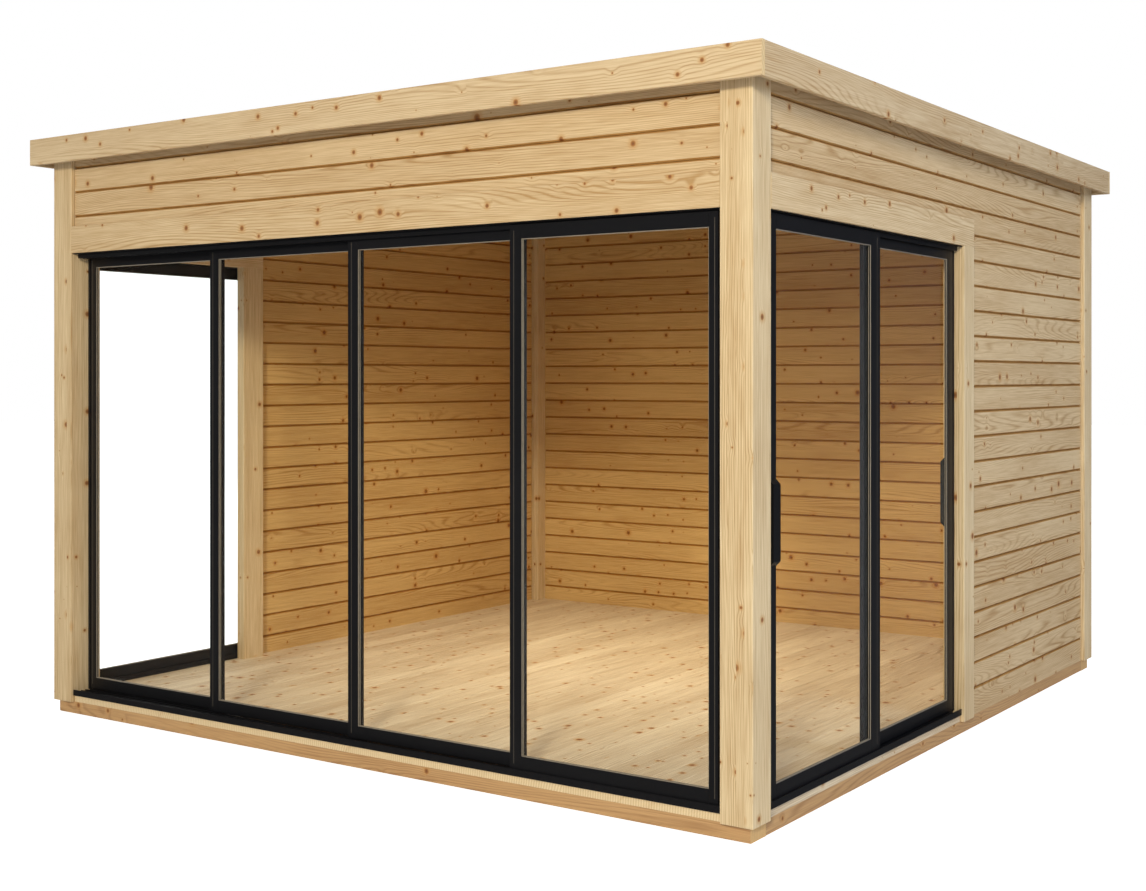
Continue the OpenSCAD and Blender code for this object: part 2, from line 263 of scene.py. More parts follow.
    # End grain: arcs round a heart that lies outside the piece
    across = calc(tree, "POWER", calc(tree, "ADD", calc(tree, "FRACT", place[1]), 0.1), 2.0)
    rise = calc(tree, "MULTIPLY", calc(tree, "ADD", calc(tree, "FRACT", place[2]), 0.1), 0.5)
    arc = calc(tree, "SQRT", calc(tree, "ADD", across, calc(tree, "POWER", rise, 2.0)))
    arcs = calc(tree, "SINE", calc(tree, "MULTIPLY", arc, arcs_per_metre))
    arcs = calc(tree, "MULTIPLY_ADD", arcs, 0.5, 0.5)
    butt = mix(tree, calc(tree, "MULTIPLY", arcs, 0.65), given["Pale"], given["Deep"])
    butt = mix(tree, 0.35, butt, butt_yellow)
    facing = add(tree, "ShaderNodeSeparateXYZ", {0: given["Facing"]}).outputs[0]
    end = ramp(calc(tree, "ABSOLUTE", facing), 0.75, 0.9)
    wood = mix(tree, calc(tree, "MULTIPLY", end, 0.85), wood, butt)
    # Painted shade in the V grooves of the wall boards: their tagged faces are darkened
    wood = mix(tree, given["Groove"], wood, painted_groove_shade, "MULTIPLY")

    height = calc(tree, "ADD", calc(tree, "MULTIPLY", ring, -0.35), calc(tree, "MULTIPLY", fibre, 0.5))
    height = calc(tree, "SUBTRACT", height, calc(tree, "MULTIPLY", knot, 0.6))
    rough = calc(tree, "MULTIPLY_ADD", ring, -0.08, 0.62)
    add(tree, "NodeGroupOutput", {"Color": wood, "Roughness": rough, "Height": height})
    return tree


grain_group = spruce_grain()
turn_to_grain = {"X": (0, 0, 0), "Y": (0, 0, -math.pi / 2), "Z": (0, math.pi / 2, 0)}


def new_finish(name):
    """A new material, its tree and its main shader."""
    material = bpy.data.materials.new(name)
    material.use_nodes = True
    tree = material.node_tree
    return material, tree, tree.nodes["Principled BSDF"]


def relief(tree, shader, height, strength, depth):
    """Bump on a shader from a height that changes over the surface."""
    bump = add(tree, "ShaderNodeBump", {"Height": height, "Strength": strength, "Distance": depth})
    tree.links.new(bump.outputs[0], shader.inputs["Normal"])


def spruce(name, axis, pale_tone, deep_tone, knots, lines, contrast=1.0, wander=1.0):
    """Planed spruce whose grain runs along one axis of the house."""
    material, tree, shader = new_finish(name)

    def turned(vector):
        node = add(tree, "ShaderNodeMapping", {"Vector": vector, "Rotation": turn_to_grain[axis]})
        return node.outputs[0]

    def stored(tag):
        return add(tree, "ShaderNodeAttribute", attribute_name=tag).outputs["Fac"]

    grain = add(tree, "ShaderNodeGroup", {
        "Grain": turned(add(tree, "ShaderNodeTexCoord").outputs["Object"]),
        "Facing": turned(add(tree, "ShaderNodeNewGeometry").outputs["True Normal"]),
        "Board": stored(board_tag), "Groove": stored(groove_tag),
        "Pale": (*pale_tone, 1), "Deep": (*deep_tone, 1),
        "Knots": knots, "Lines": lines, "Contrast": contrast, "Wander": wander}, node_tree=grain_group)
    tree.links.new(grain.outputs["Color"], shader.inputs["Base Color"])
    tree.links.new(grain.outputs["Roughness"], shader.inputs["Roughness"])
    relief(tree, shader, grain.outputs["Height"], 0.25, 0.001)
    shader.inputs["Specular IOR Level"].default_value = 0.25
    return material


def spruce_both_ways(name, *look):
    """The same spruce twice: for timber along X and for timber along Y."""
    return [spruce(name + "_" + axis.lower(), axis, *look) for axis in "XY"]


def to_object(name, bm, material):
    """A mesh object at the origin, made of the faces collected so far."""
    mesh = bpy.data.meshes.new(name)
    bm.to_mesh(mesh)
    bm.free()
    mesh.materials.append(material)
    piece = bpy.data.objects.new(name, mesh)
    bpy.context.scene.collection.objects.link(piece)
    return piece


def fasten(piece, body, replaced):
    """Ties a piece to its body and the CAD nodes that it stands for."""
    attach(piece, body)
    if replaced:
        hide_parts(*replaced)


def finish_mesh(name, bm, material, body, replaced):
    """Turns the faces outwards, makes them an object and fastens it."""
    bmesh.ops.recalc_face_normals(bm, faces=bm.faces)
    fasten(to_object(name, bm, material), body, replaced)


def solid(bm, outline, run, ease=0.0, segments=2, tag=None):
    """An outline of points swept along a vector, its long edges eased and its faces tagged."""
    layer = None
    if tag is not None:
        layer = bm.faces.layers.float.get(board_tag) or bm.faces.layers.float.new(board_tag)
    ring = [bm.verts.new(point) for point in outline]
    base = bm.faces.new(ring)
    made = bmesh.ops.extrude_face_region(bm, geom=[base])["geom"]
    tops = [part for part in made if isinstance(part, bmesh.types.BMVert)]
    bmesh.ops.translate(bm, verts=tops, vec=run)
    verts = set(ring) | set(tops)
    if ease:
        way = Vector(run).normalized()
        edges = [e for e in bm.edges if e.verts[0] in verts]
        spans = [(e, (e.verts[1].co - e.verts[0].co).normalized()) for e in edges]
        long_edges = [e for e, span in spans if abs(span.dot(way)) > 0.99]
        result = bmesh.ops.bevel(bm, geom=long_edges, offset=ease, segments=segments, affect="EDGES",
                                 profile=0.5)
        verts = {v for v in verts if v.is_valid} | set(result["verts"])
    if layer is not None:
        for face in {f for v in verts for f in v.link_faces}:
            face[layer] = tag


def rectangle(lo, hi, axis):
    """The corners of a box's low end, and the run that sweeps them along the axis."""
    k = "XYZ".index(axis)
    a, b = [i for i in range(3) if i != k]
    corners = []
    for u, v in ((lo[a], lo[b]), (hi[a], lo[b]), (hi[a], hi[b]), (lo[a], hi[b])):
        point = [0.0, 0.0, 0.0]
        point[k], point[a], point[b] = lo[k], u, v
        corners.append(point)
    run = [0.0, 0.0, 0.0]
    run[k] = hi[k] - lo[k]
    return corners, run


timber_ease = 0.003


def timber(bm, lo, hi, axis, ease=timber_ease, tag=None):
    """A squared timber between two corners, its grain along the axis."""
    outline, run = rectangle(lo, hi, axis)
    solid(bm, outline, run, ease, tag=tag)


def boxed(node):
    """The two corners of a CAD node as plain lists."""
    lo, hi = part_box(node)
    return list(lo), list(hi)


chance = random.Random(11)


def timber_pair(name, lo, hi, axis, thick, ease, material, node):
    """Two like timbers along one axis, at the low and the high side of a box."""
    d = 1 - "XY".index(axis)
    bm = bmesh.new()
    for edge in (lo[d], hi[d] - thick):
        low, high = list(lo), list(hi)
        low[d], high[d] = edge, edge + thick
        timber(bm, low, high, axis, ease, chance.random())
    finish_mesh(name, bm, material, "house", [node])


base_spruce_x, base_spruce_y = spruce_both_ways("base_spruce", (0.60, 0.37, 0.17), (0.40, 0.22, 0.095),
                                                0.5, 90.0, 1.2)
base_lo, base_hi = boxed("base_frame")
beam_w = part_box("floor_joists")[0][0] - base_lo[0]
timber_pair("base_beams_front_and_back", base_lo, base_hi, "X", beam_w, timber_ease, base_spruce_x,
            "base_frame")
base_lo[1] += beam_w
base_hi[1] -= beam_w
timber_pair("base_beams_left_and_right", base_lo, base_hi, "Y", beam_w, timber_ease, base_spruce_y,
            "base_frame")


def stack_tree():
    """Copies of one board at a step, each tagged with its own number."""
    tree, given = new_group("board_stack", "GeometryNodeTree",
                            {"Geometry": "Geometry", "Count": "Int", "Step": "Vector", "Seed": "Int",
                             "Material": "Material"}, {"Geometry": "Geometry"})
    line = add(tree, "GeometryNodeMeshLine", {"Count": given["Count"], "Offset": given["Step"]})
    copies = add(tree, "GeometryNodeInstanceOnPoints",
                 {"Points": line.outputs[0], "Instance": given["Geometry"]})
    dice = add(tree, "FunctionNodeRandomValue", {"Seed": given["Seed"]}, data_type="FLOAT")
    store = add(tree, "GeometryNodeStoreNamedAttribute",
                {"Geometry": copies.outputs[0], "Name": board_tag, "Value": dice.outputs[1]},
                data_type="FLOAT", domain="INSTANCE")
    real = add(tree, "GeometryNodeRealizeInstances", {0: store.outputs[0]})
    painted = add(tree, "GeometryNodeSetMaterial",
                  {"Geometry": real.outputs[0], "Material": given["Material"]})
    add(tree, "NodeGroupOutput", {"Geometry": painted.outputs[0]})
    return tree


stack = stack_tree()


def stacked(name, bm, count, step, seed, material):
    """Runs the stack on one board and returns the result as a plain mesh object."""
    bmesh.ops.recalc_face_normals(bm, faces=bm.faces)
    piece = to_object(name, bm, material)
    one = piece.data
    modifier = piece.modifiers.new("stack", "NODES")
    modifier.node_group = stack
    values = {"Count": count, "Step": step, "Seed": seed, "Material": material}
    for item in stack.interface.items_tree:
        if item.in_out == "INPUT" and item.name in values:
            modifier[item.identifier] = values[item.name]
    graph = bpy.context.evaluated_depsgraph_get()
    plain = bpy.data.meshes.new_from_object(piece.evaluated_get(graph))
    piece.modifiers.clear()
    piece.data = plain
    plain.materials.clear()
    plain.materials.append(material)
    plain.polygons.foreach_set("material_index", [0] * len(plain.polygons))
    bpy.data.meshes.remove(one)
    return piece


joist_count = 6
joist_width = 0.045


def joist_row(name, node, seed, material):
    """Joists on edge, evenly spread over a CAD node's box."""
    lo, hi = boxed(node)
    step = (hi[1] - lo[1] - joist_width) / (joist_count - 1)
    bm = bmesh.new()
    timber(bm, lo, [hi[0], lo[1] + joist_width, hi[2]], "X")
    fasten(stacked(name, bm, joist_count, (0, step, 0), seed, material), "house", [node])


joist_row("floor_joist_row", "floor_joists", 3, base_spruce_x)

# The floor. Spruce boards with eased edges run from front to back over the joists. The outer
# ones are cut round the posts, and a strip on the base face fills each side opening.
floor_spruce = spruce("floor_spruce", "Y", (0.80, 0.675, 0.475), (0.44, 0.30, 0.165),
                      0.95, 130.0, 1.25, 0.5)
floor_lo, floor_hi = boxed("floor_deck")
floor_pitch = 0.100
floor_joint_x = -1.584
floor_ease = 0.002
floor_gap = 0.0025
inner_boards = 31
least_rip = 0.001


def chamfered(lo, hi, chamfer):
    """Outline and run of a board along Y whose long edges are all chamfered."""
    x0, x1 = lo[0], hi[0]
    z0, z1 = lo[2], hi[2]
    c = chamfer
    outline = [(x, lo[1], z) for x, z in ((x0, z0 + c), (x0, z1 - c), (x0 + c, z1), (x1 - c, z1),
                                          (x1, z1 - c), (x1, z0 + c), (x1 - c, z0), (x0 + c, z0))]
    return outline, (0, hi[1] - lo[1], 0)


def ripped_board(xa, xb, y_ends, notches, seed):
    """A board from xa to xb whose outer edge is cut back to x over each notch (y0, y1, x)."""
    out = 1 if xb > xa else -1
    cuts = {y for notch in notches for y in notch[:2] if y_ends[0] < y < y_ends[1]}
    marks = sorted(cuts | set(y_ends))
    runs = []
    for y0, y1 in zip(marks, marks[1:]):
        reach = [xb] + [x for a, b, x in notches if a <= y0 and y1 <= b]
        edge = min(reach, key=lambda x: x * out)
        if edge * out <= xa * out + least_rip:
            runs.append([])
        elif runs and runs[-1] and runs[-1][-1][0] == edge:
            runs[-1][-1] = (edge, y1)
        elif runs:
            runs[-1] += [(edge, y0), (edge, y1)]
        else:
            runs.append([(edge, y0), (edge, y1)])
    bm = bmesh.new()
    for steps in filter(None, runs):
        outline = [(xa, steps[0][1]), *steps, (xa, steps[-1][1])]
        solid(bm, [(x, y, floor_lo[2]) for x, y in outline], (0, 0, floor_hi[2] - floor_lo[2]))
    return stacked("floor_edge", bm, 1, (0, 0, 0), seed, floor_spruce)


bm = bmesh.new()
outline, run = chamfered([floor_joint_x, floor_lo[1], floor_lo[2]],
                         [floor_joint_x + floor_pitch, floor_hi[1], floor_hi[2]], floor_ease)
solid(bm, outline, run)
rows = [stacked("floor_field", bm, inner_boards, (floor_pitch, 0, 0), 21, floor_spruce)]
for side, out in (("left", -1), ("right", 1)):
    corner, rear = boxed("front_%s_post" % side), boxed("back_%s_post" % side)
    jamb, wall = boxed(side + "_jamb_post"), boxed(side + "_wall")
    near, far = (0, 1) if out > 0 else (1, 0)
    notches = [(corner[0][1], corner[1][1] + floor_gap, corner[near][0] - out * floor_gap),
               (jamb[0][1], jamb[1][1], jamb[near][0]),
               (rear[0][1], rear[1][1], rear[near][0])]
    edge = floor_joint_x if out < 0 else floor_joint_x + inner_boards * floor_pitch
    inside = wall[near][0]
    while edge * out < inside * out:
        following = min(edge * out + floor_pitch, inside * out) * out
        rows.append(ripped_board(edge, following, (floor_lo[1], floor_hi[1]), notches, 60 + len(rows)))
        edge = following
    strip_end = jamb[0][1] if out > 0 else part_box("left_window_frame")[1][1]
    rows.append(ripped_board(inside, wall[far][0], (corner[1][1], strip_end), notches, 60 + len(rows)))


def joined(name, parts, body, replaced):
    """Joins board rows into one piece."""
    material = parts[0].data.materials[0]
    bm = bmesh.new()
    for part in parts:
        bm.from_mesh(part.data)
        bpy.data.objects.remove(part)
    fasten(to_object(name, bm, material), body, replaced)


joined("floor_boards", rows, "house", ["floor_deck"])

# The posts. Glued spruce posts, a few layers thick, stand on the base frame at the corners
# and behind the side openings; the left jamb post is rebated outside for the window.
post_spruce = spruce("post_spruce", "Z", (0.76, 0.60, 0.36), (0.44, 0.27, 0.11), 0.55, 120.0, 1.1, 0.3)
post_ease = 0.003
layer_t = 0.030


def glued_post(node, outline=None):
    """A post sawn through at its glue lines, each layer with its own grain."""
    lo, hi = boxed(node)
    bm = bmesh.new()
    square, run = rectangle(lo, hi, "Z")
    solid(bm, outline or square, run, post_ease)
    layers = round((hi[0] - lo[0]) / layer_t)
    width = (hi[0] - lo[0]) / layers
    for i in range(1, layers):
        whole = bm.verts[:] + bm.edges[:] + bm.faces[:]
        bmesh.ops.bisect_plane(bm, geom=whole, plane_co=(lo[0] + i * width, 0, 0), plane_no=(1, 0, 0))
    tag = bm.faces.layers.float.new(board_tag)
    tones = [chance.random() for i in range(layers)]
    for face in bm.faces:
        i = int((face.calc_center_median().x - lo[0]) / width)
        face[tag] = tones[max(0, min(layers - 1, i))]
    name = node.replace("_post", "_glued_post")
    finish_mesh(name, bm, post_spruce, "house", [node])


for node in ("front_left_post", "front_right_post", "back_left_post", "back_right_post",
             "right_jamb_post"):
    glued_post(node)
lo, hi = boxed("left_jamb_post")
rebate_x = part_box("left_tracks")[1][0]
rebate_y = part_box("left_window_frame")[1][1]
rebated = [(rebate_x, lo[1]), (hi[0], lo[1]), (hi[0], hi[1]), (lo[0], hi[1]), (lo[0], rebate_y),
           (rebate_x, rebate_y)]
glued_post("left_jamb_post", [(x, y, lo[2]) for x, y in rebated])
bm = bmesh.new()
timber(bm, *boxed("left_cover_batten"), "Z", tag=chance.random())
finish_mesh("left_window_batten", bm, post_spruce, "house", ["left_cover_batten"])

# The lintels. Squared spruce beams lie flush with the posts over the three openings and
# run on to the back edge of the jamb posts.
lintel_spruce_x, lintel_spruce_y = spruce_both_ways("lintel_spruce", (0.72, 0.555, 0.33),
                                                    (0.46, 0.28, 0.115), 0.6, 100.0, 1.15)
lintel_ease = 0.0012
for side, axis, material in (("front", "X", lintel_spruce_x), ("left", "Y", lintel_spruce_y),
                             ("right", "Y", lintel_spruce_y)):
    node = side + "_lintel"
    bm = bmesh.new()
    timber(bm, *boxed(node), axis, lintel_ease, chance.random())
    finish_mesh(node + "_beam", bm, material, "house", [node])

# The board walls. Tongued and grooved spruce boards lie on each other with a V groove at
# each joint, inside and out; the board beside a lintel is notched over it. Their inner
# faces are tinted warmer, a painted warm light that stands for light bounced about the room.
painted_bounce_tone = (1.0, 0.89, 0.63, 1)
wall_spruce_x, wall_spruce_y = spruce_both_ways("wall_spruce", (0.70, 0.525, 0.30), (0.44, 0.26, 0.105),
                                                0.6, 115.0, 1.1)
inside_edge = sum(corner[0] for corner in boxed("right_wall")) / 2
# Painted bounce light: the inner faces of the walls are multiplied by a warm tone
for material in (wall_spruce_x, wall_spruce_y):
    tree = material.node_tree
    colour = tree.nodes["Principled BSDF"].inputs["Base Color"]
    spot = add(tree, "ShaderNodeTexCoord").outputs["Object"]
    place = add(tree, "ShaderNodeSeparateXYZ", {0: spot}).outputs
    reach = calc(tree, "MAXIMUM", calc(tree, "ABSOLUTE", place[0]), calc(tree, "ABSOLUTE", place[1]))
    indoors = calc(tree, "LESS_THAN", reach, inside_edge)
    tree.links.new(mix(tree, indoors, colour.links[0].from_socket, painted_bounce_tone, "MULTIPLY"), colour)
board_pitch = 0.1052
first_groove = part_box("right_wall")[0][2] + 0.111
groove = 0.006
slit = 0.0012
slit_deep = 0.009
narrow_face = 0.020
end_gap = 0.0025
lintel_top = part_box("right_lintel")[1][2]
roof_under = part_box("back_wall")[1][2]
side_count = int((lintel_top - first_groove) / board_pitch)
under_notch = first_groove + side_count * board_pitch
last_groove = first_groove + (side_count + 1) * board_pitch
upper_count = int((roof_under - last_groove) / board_pitch)
top_groove = last_groove + upper_count * board_pitch
back_count = round((top_groove - first_groove) / board_pitch)


def mark_grooves(bm):
    """Tags the sloped and sunk faces of the board edges, where the grain shader paints shade."""
    layer = bm.faces.layers.float.new(groove_tag)
    bm.normal_update()
    for face in bm.faces:
        sloped = 0.05 < abs(face.normal.z) < 0.95
        narrow = 0 < face.calc_area() < narrow_face * face.calc_perimeter() / 2
        if sloped or narrow:
            face[layer] = 1.0


def wall_board(bm, lo, hi, axis, foot=True, head=True):
    """One board: a V groove and a slit at its foot and its head, on both faces."""
    k = "XY".index(axis)
    d = 1 - k
    a, b = lo[d], hi[d]
    outline = []

    def edge(z, up, grooved):
        if not grooved:
            return [(a, z), (b, z)]
        v = z + up * groove
        s = z + up * slit
        g = groove - slit
        return [(a, v), (a + g, s), (a + slit_deep, s), (a + slit_deep, z),
                (b - slit_deep, z), (b - slit_deep, s), (b - g, s), (b, v)]

    for depth, z in edge(lo[2], 1, foot) + edge(hi[2], -1, head)[::-1]:
        point = [0.0, 0.0, z]
        point[k], point[d] = lo[k], depth
        outline.append(point)
    run = [0.0, 0.0, 0.0]
    run[k] = hi[k] - lo[k]
    solid(bm, outline, run)
    mark_grooves(bm)


def board_row(name, lo, hi, axis, z_first, count, seed, material):
    """Whole boards from one groove upwards."""
    bm = bmesh.new()
    wall_board(bm, [lo[0], lo[1], z_first], [hi[0], hi[1], z_first + board_pitch], axis)
    return stacked(name, bm, count, (0, 0, board_pitch), seed, material)


def cut_board(name, lo, hi, axis, z0, z1, foot, head, seed, material):
    """One board of its own height, sawn off square at the floor, the lintel or the roof."""
    bm = bmesh.new()
    wall_board(bm, [lo[0], lo[1], z0], [hi[0], hi[1], z1], axis, foot, head)
    return stacked(name, bm, 1, (0, 0, 0), seed, material)


lo, hi = boxed("front_upper_wall")
lo[0] += end_gap
hi[0] -= end_gap
front_wall = [cut_board("front_low", lo, hi, "X", lintel_top, last_groove, False, True, 4, wall_spruce_x),
              board_row("front_mid", lo, hi, "X", last_groove, upper_count, 5, wall_spruce_x),
              cut_board("front_top", lo, hi, "X", top_groove, roof_under, True, False, 6, wall_spruce_x)]
joined("front_wall_boards", front_wall, "house", ["front_upper_wall"])
lo, hi = boxed("back_wall")
back_wall = [cut_board("back_low", lo, hi, "X", lo[2], first_groove, False, True, 7, wall_spruce_x),
             board_row("back_mid", lo, hi, "X", first_groove, back_count, 8, wall_spruce_x),
             cut_board("back_top", lo, hi, "X", top_groove, roof_under, True, False, 9, wall_spruce_x)]
joined("back_wall_boards", back_wall, "house", ["back_wall"])


def notched_board(name, lo, hi, y_notch, z0, z_notch, z1, seed, material):
    """A board across the whole side whose front part is cut away over the lintel."""
    bm = bmesh.new()
    wall_board(bm, [lo[0], lo[1], z_notch], [hi[0], y_notch, z1], "Y", False, True)
    part = bmesh.new()
    wall_board(part, [lo[0], y_notch, z0], [hi[0], hi[1], z1], "Y")
    mesh = bpy.data.meshes.new("notch_part")
    part.to_mesh(mesh)
    part.free()
    bm.from_mesh(mesh)
    bpy.data.meshes.remove(mesh)
    return stacked(name, bm, 1, (0, 0, 0), seed, material)


for side, seed in (("left", 30), ("right", 40)):
    low = boxed(side + "_wall")
    high = boxed(side + "_upper_wall")
    low[1][1] -= end_gap
    high[1][1] -= end_gap
    wood = wall_spruce_y
    parts = [cut_board(side + "_low", *low, "Y", low[0][2], first_groove, False, True, seed, wood),
             board_row(side + "_mid", *low, "Y", first_groove, side_count, seed + 1, wood),
             notched_board(side + "_notch", *high, low[0][1], under_notch, lintel_top, last_groove,
                           seed + 2, wood),
             board_row(side + "_high", *high, "Y", last_groove, upper_count, seed + 3, wood),
             cut_board(side + "_top", *high, "Y", top_groove, roof_under, True, False, seed + 4, wood)]
    joined(side + "_wall_boards", parts, "house", [side + "_wall", side + "_upper_wall"])

# The roof timber. Joists on edge span from side to side, and grooved boards lie across
# them and run out to the fascia, where their underside shows, darkened with painted shade.
roof_spruce_x = spruce("roof_spruce_x", "X", (0.55, 0.38, 0.185), (0.34, 0.19, 0.07), 0.7, 100.0)
# The roof boards' tones are darkened as painted shade under the eaves
roof_spruce_y_painted_shade = spruce("roof_spruce_y_painted_shade", "Y", (0.30, 0.165, 0.058), (0.18, 0.085, 0.027), 0.7, 100.0)
joist_row("roof_joist_row", "roof_joists", 51, roof_spruce_x)
lo, hi = boxed("roof_deck")
deck_count = 34
deck_pitch = (hi[0] - lo[0]) / deck_count
deck_ease = 0.003
bm = bmesh.new()
outline, run = chamfered(lo, [lo[0] + deck_pitch, hi[1], hi[2]], deck_ease)
solid(bm, outline, run)
roof_boards = stacked("roof_boards", bm, deck_count, (deck_pitch, 0, 0), 52, roof_spruce_y_painted_shade)
fasten(roof_boards, "house", ["roof_deck"])

# The fascia. Planed boards on edge close the roof all round; the front and back ones run
# past the ends of the side ones in a plain butt joint.
fascia_spruce_x, fascia_spruce_y = spruce_both_ways("fascia_spruce", (0.69, 0.535, 0.325),
                                                    (0.44, 0.27, 0.12), 0.65, 100.0, 1.15)
fascia_ease = 0.002
edge_lo, edge_hi = boxed("fascia_front_back")
side_lo, side_hi = boxed("fascia_sides")
fascia_t = side_lo[1] - edge_lo[1]
timber_pair("fascia_boards_front_and_back", edge_lo, edge_hi, "X", fascia_t, fascia_ease, fascia_spruce_x,
            "fascia_front_back")
timber_pair("fascia_boards_left_and_right", side_lo, side_hi, "Y", fascia_t, fascia_ease, fascia_spruce_y,
            "fascia_sides")

# The roof felt. Mineral felt lies in sheets about a metre wide that run from side to side;
# the back edge of each is lapped over the next one.


def speckle(tree, scale, detail):
    """Noise on the object's own coordinates."""
    spot = add(tree, "ShaderNodeTexCoord").outputs["Object"]
    return add(tree, "ShaderNodeTexNoise", {"Vector": spot, "Scale": scale, "Detail": detail}).outputs[0]


def tinted(tree, tone, green, blue):
    """A grey tone made warmer or cooler by its shares of green and blue."""
    return add(tree, "ShaderNodeCombineColor", {0: tone, 1: calc(tree, "MULTIPLY", tone, green),
                                                2: calc(tree, "MULTIPLY", tone, blue)}).outputs[0]


felt, tree, shader = new_finish("mineral_felt")
grit = speckle(tree, 900.0, 2.0)
tone = calc(tree, "MULTIPLY_ADD", grit, 0.09, calc(tree, "MULTIPLY", speckle(tree, 2.2, 3.0), 0.03))
tree.links.new(tinted(tree, tone, 1.0, 1.06), shader.inputs["Base Color"])
relief(tree, shader, grit, 0.5, 0.001)
shader.inputs["Roughness"].default_value = 0.92
lo, hi = boxed("roof_felt")
sheet_n = 4
sheet_w = (hi[1] - lo[1]) / sheet_n
lap = 0.10
thin = (hi[2] - lo[2]) / 2
bm = bmesh.new()
for i in range(sheet_n):
    y0 = lo[1] + i * sheet_w
    y1 = min(y0 + sheet_w + lap, hi[1])
    lift = thin if y1 < hi[1] else 0
    outline = [(lo[0], y0, lo[2]), (lo[0], y1, lo[2] + lift),
               (lo[0], y1, lo[2] + thin + lift), (lo[0], y0, lo[2] + thin)]
    solid(bm, outline, (hi[0] - lo[0], 0, 0))
finish_mesh("roof_felt_sheets", bm, felt, "house", ["roof_felt"])

# The tracks. Extruded aluminium, powder-coated black: a sill with running rails, a head
# with guide fins, and brush profiles up the posts. The CAD shapes stay as they are.


def black_coat(name, shade, roughness):
    """Black powder coat with its faint orange peel."""
    material, tree, shader = new_finish(name)
    shader.inputs["Specular IOR Level"].default_value = 0.3
    dust = speckle(tree, 3.0, 4.0)
    tone = calc(tree, "MULTIPLY_ADD", dust, shade * 0.6, shade * 0.7)
    tree.links.new(tinted(tree, tone, 1.0, 1.16), shader.inputs["Base Color"])
    tree.links.new(calc(tree, "MULTIPLY_ADD", dust, 0.12, roughness), shader.inputs["Roughness"])
    relief(tree, shader, speckle(tree, 1400.0, 1.0), 0.12, 0.0005)
    return material


def coat(node, material):
    """Gives a CAD node's own solid a finish."""
    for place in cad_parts[node].material_slots:
        place.material = material


track_black = black_coat("track_black", 0.009, 0.44)
for node in ("front_tracks", "front_jamb_profiles", "left_tracks", "right_tracks", "right_jamb_profiles"):
    coat(node, track_black)

# The sliding panels. Black aluminium stiles and rails, grooved for the glass and butted at
# the corners, with a warm grey seal round the pane, a brush strip on each face of a stile
# whose grey also paints a highlight line, and two wheels under the bottom rail.
panel_black = black_coat("panel_black", 0.009, 0.40)
track_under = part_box("front_tracks")[0][2]
frame_lift = 0.021
frame_proud = 0.0055
frame_ease = 0.0012
seat = 0.010
glass_play = 0.0003
seal_w = 0.0025
brush_w = 0.0018
brush_out = 0.0002
brush_root = 0.001
brush_at = 0.36
brush_short = 0.02
wheel_r = 0.009
wheel_t = 0.006
wheel_in = 0.090
rail_top = 0.0163
packer_l = 0.060
packer_t = 0.005


def mottled(name, shade):
    """Warm grey rubber or pile, a little uneven along its length."""
    material, tree, shader = new_finish(name)
    tone = calc(tree, "MULTIPLY_ADD", speckle(tree, 60.0, 2.0), shade * 0.4, shade * 0.8)
    tree.links.new(tinted(tree, tone, 0.86, 0.66), shader.inputs["Base Color"])
    shader.inputs["Roughness"].default_value = 0.6
    return material


seal_rubber = mottled("seal_rubber", 0.30)
# Grey pile for the brush strips, whose grey also stands in for a painted highlight on the stiles
brush_pile_and_highlight = mottled("brush_pile_and_highlight", 0.11)

# Clear glass that lets light through without bending its shadow
glass_green = (0.97, 0.99, 0.985, 1)
glass_shadow = (0.96, 0.955, 0.935, 1)
glass, tree, shader = new_finish("clear_glass")
shader.inputs["Base Color"].default_value = glass_green
shader.inputs["Roughness"].default_value = 0.0
shader.inputs["IOR"].default_value = 1.06
shader.inputs["Transmission Weight"].default_value = 1.0
ray = add(tree, "ShaderNodeLightPath")
unbent = calc(tree, "MAXIMUM", ray.outputs["Is Shadow Ray"], ray.outputs["Is Diffuse Ray"])
clear = add(tree, "ShaderNodeBsdfTransparent", {"Color": glass_shadow})
both = add(tree, "ShaderNodeMixShader", {0: unbent, 1: shader.outputs[0], 2: clear.outputs[0]})
tree.links.new(both.outputs[0], tree.nodes["Material Output"].inputs["Surface"])


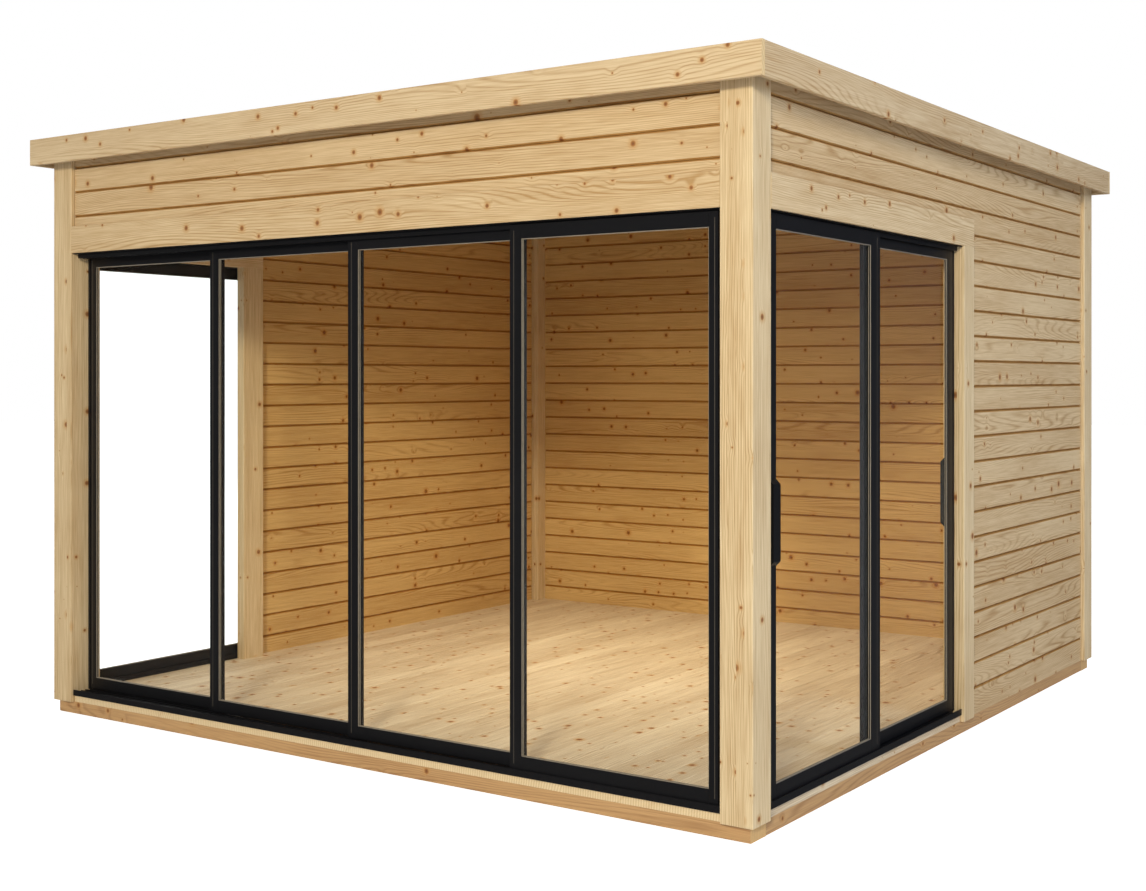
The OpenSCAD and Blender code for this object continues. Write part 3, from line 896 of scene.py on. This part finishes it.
def glazed_frame(name, along, body):
    """Rails, stiles, brush strips that also paint a highlight line, and seals measured off a CAD frame
    whose rails run along one axis.
    """
    lo, hi = boxed(name + "_frame")
    pane_lo, pane_hi = boxed(name + "_glass")
    k = "XY".index(along)
    d = 1 - k
    face_0, face_1 = pane_lo[d] - frame_proud, pane_hi[d] + frame_proud
    slit_0, slit_1 = pane_lo[d] - glass_play, pane_hi[d] + glass_play
    foot, head = track_under + frame_lift, hi[2]
    u0, u1 = pane_lo[k] + seat, pane_hi[k] - seat
    z0, z1 = pane_lo[2] + seat, pane_hi[2] - seat
    stiles = ((lo[k], u0), (hi[k], u1))

    def at(u, depth, z):
        point = [0.0, 0.0, z]
        point[k], point[d] = u, depth
        return point

    def bar(bm, us, depths, zs):
        outline, run = rectangle(at(us[0], depths[0], zs[0]), at(us[1], depths[1], zs[1]), "Z")
        solid(bm, outline, run)

    def grooved(outer, inner):
        deep = inner - seat if inner > outer else inner + seat
        return [(outer, face_0), (inner, face_0), (inner, slit_0), (deep, slit_0), (deep, slit_1),
                (inner, slit_1), (inner, face_1), (outer, face_1)]

    bm = bmesh.new()
    for outer, inner in stiles:
        solid(bm, [at(u, v, foot) for u, v in grooved(outer, inner)], (0, 0, head - foot), frame_ease)
    for outer, inner in ((foot, z0), (head, z1)):
        solid(bm, [at(u0, v, z) for z, v in grooved(outer, inner)], at(u1 - u0, 0, 0), frame_ease)
    for u in (lo[k] + wheel_in, hi[k] - wheel_in):
        if body == "house":
            bar(bm, (u - packer_l / 2, u + packer_l / 2), (face_0, face_1), (foot - packer_t, foot))
        else:
            centre = Vector(at(u, (face_0 + face_1) / 2, track_under + rail_top + wheel_r))
            turn = Matrix.Rotation(math.pi / 2, 4, along)
            bmesh.ops.create_cone(bm, cap_ends=True, segments=32, radius1=wheel_r, radius2=wheel_r,
                                  depth=wheel_t, matrix=Matrix.Translation(centre) @ turn)
    finish_mesh(name + "_rails_and_stiles", bm, panel_black, body, [name + "_frame"])

    # Brush strips, nearly flush on the stile faces: brush pile, and a painted highlight line
    bm = bmesh.new()
    sides = ((face_0 - brush_out, face_0 + brush_root), (face_1 - brush_root, face_1 + brush_out))
    for outer, inner in stiles:
        middle = outer + (inner - outer) * brush_at
        for depths in sides:
            bar(bm, (middle - brush_w / 2, middle + brush_w / 2), depths,
                (foot + brush_short, head - brush_short))
    finish_mesh(name + "_brushes", bm, brush_pile_and_highlight, body, None)

    bm = bmesh.new()
    s = seal_w
    for depths in ((pane_lo[d] - s, pane_lo[d]), (pane_hi[d], pane_hi[d] + s)):
        bar(bm, (u0, u0 + s), depths, (z0, z1))
        bar(bm, (u1 - s, u1), depths, (z0, z1))
        bar(bm, (u0 + s, u1 - s), depths, (z0, z0 + s))
        bar(bm, (u0 + s, u1 - s), depths, (z1 - s, z1))
    finish_mesh(name + "_seal", bm, seal_rubber, body, None)
    coat(name + "_glass", glass)


for name in ("front_panel_1", "front_panel_2", "front_panel_3", "front_panel_4"):
    glazed_frame(name, "X", name)
for name in ("right_panel_1", "right_panel_2"):
    glazed_frame(name, "Y", name)

# The left window. The same frame stands fixed between the corner post and the jamb post,
# on two packers in a single track.
glazed_frame("left_window", "Y", "house")

# The pull handles. A solid black bar with sloped ends is screwed to the outer stile of
# each side panel: outside on the near panel, inside on the far one.
handle_black = black_coat("handle_black", 0.006, 0.34)
handle_len = 0.284
handle_w = 0.048
handle_out = 0.018
handle_z = 0.995
handle_ease = 0.003
stile_middle = 0.027
for name, outside in (("right_panel_1", True), ("right_panel_2", False)):
    lo, hi = boxed(name + "_frame")
    pane_lo, pane_hi = boxed(name + "_glass")
    middle = lo[1] + stile_middle if outside else hi[1] - stile_middle
    face = pane_hi[0] + frame_proud if outside else pane_lo[0] - frame_proud
    out = handle_out if outside else -handle_out
    outline = [(face, -handle_len / 2), (face + out, -handle_len / 2 + handle_out),
               (face + out, handle_len / 2 - handle_out), (face, handle_len / 2)]
    bm = bmesh.new()
    solid(bm, [(x, middle - handle_w / 2, handle_z + z) for x, z in outline], (0, handle_w, 0),
          handle_ease, 3)
    finish_mesh(name + "_pull_handle", bm, handle_black, name, None)
